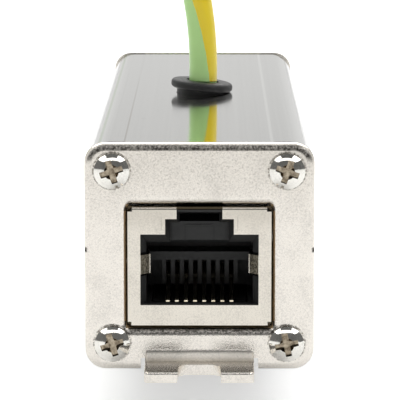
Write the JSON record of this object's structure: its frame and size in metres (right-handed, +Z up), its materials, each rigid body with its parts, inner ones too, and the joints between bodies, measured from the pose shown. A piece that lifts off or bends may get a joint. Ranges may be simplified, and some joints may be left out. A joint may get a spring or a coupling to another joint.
{
  "type": "ethernet surge protector",
  "caption": "In-line Ethernet surge protector: square extruded aluminium box with a shielded jack in each end plate, an earth wire from the top and a rail clip beneath.",
  "frame": {"origin": "middle of the box in X and Y, at the underside of the rail clip's hooks, on which the part rests", "axes": "+Z up, out of the top face with the wire; -Y out of the front plate; +X to the right seen from the front; Y runs along the box"},
  "size_m": [0.0608, 0.139, 0.0671],
  "materials": {
    "housing_aluminium": "polished, with fine draw lines",
    "plate_nickel": "satin nickel plate",
    "screw_nickel": "bright nickel plate",
    "shield_nickel": "satin nickel plate",
    "insert_plastic": "moulded black",
    "carrier_plastic": "moulded black",
    "contact_gold": "gold plate",
    "board_laminate": "green solder mask",
    "tube_ceramic": "white ceramic with metal ends",
    "suppressor_epoxy": "moulded black",
    "terminal_tin": "tin plate",
    "wire_insulation": "smooth, green with a yellow stripe",
    "sleeve_vinyl": "smooth yellow vinyl",
    "grommet_rubber": "matt black",
    "clip_plastic": "moulded black",
    "latch_steel": "zinc plate",
    "spring_steel": "drawn wire"
  },
  "bodies": {
    "protector": {"housing": "housing_aluminium", "front_plate": "plate_nickel", "front_screws": "screw_nickel", "front_jack_shield": "shield_nickel", "front_jack_housing": "insert_plastic", "front_contact_carrier": "carrier_plastic", "front_contact_1": "contact_gold", "front_contact_2": "contact_gold", "front_contact_3": "contact_gold", "front_contact_4": "contact_gold", "front_contact_5": "contact_gold", "front_contact_6": "contact_gold", "front_contact_7": "contact_gold", "front_contact_8": "contact_gold", "rear_plate": "plate_nickel", "rear_screws": "screw_nickel", "rear_jack_shield": "shield_nickel", "rear_jack_housing": "insert_plastic", "rear_contact_carrier": "carrier_plastic", "rear_contact_1": "contact_gold", "rear_contact_2": "contact_gold", "rear_contact_3": "contact_gold", "rear_contact_4": "contact_gold", "rear_contact_5": "contact_gold", "rear_contact_6": "contact_gold", "rear_contact_7": "contact_gold", "rear_contact_8": "contact_gold", "circuit_board": "board_laminate", "gas_tube_1": "tube_ceramic", "suppressor_1": "suppressor_epoxy", "gas_tube_2": "tube_ceramic", "suppressor_2": "suppressor_epoxy", "gas_tube_3": "tube_ceramic", "suppressor_3": "suppressor_epoxy", "gas_tube_4": "tube_ceramic", "suppressor_4": "suppressor_epoxy", "board_terminal": "terminal_tin", "ring_terminal": "terminal_tin", "earth_wire_inner": "wire_insulation", "earth_wire": "wire_insulation", "terminal_sleeve": "sleeve_vinyl", "grommet": "grommet_rubber", "rail_clip": "clip_plastic", "clip_screws": "screw_nickel", "latch_spring": "spring_steel"},
    "latch": {"rail_latch": "latch_steel"}
  },
  "joints": [
    {"name": "latch_slide", "type": "slide", "parent": "protector", "child": "latch", "axis": [0, 1, 0], "range_m": [0, 0.003], "stiffness_N_per_m": 800, "springref_m": -0.004, "deforming": ["latch_spring"]}
  ]
}
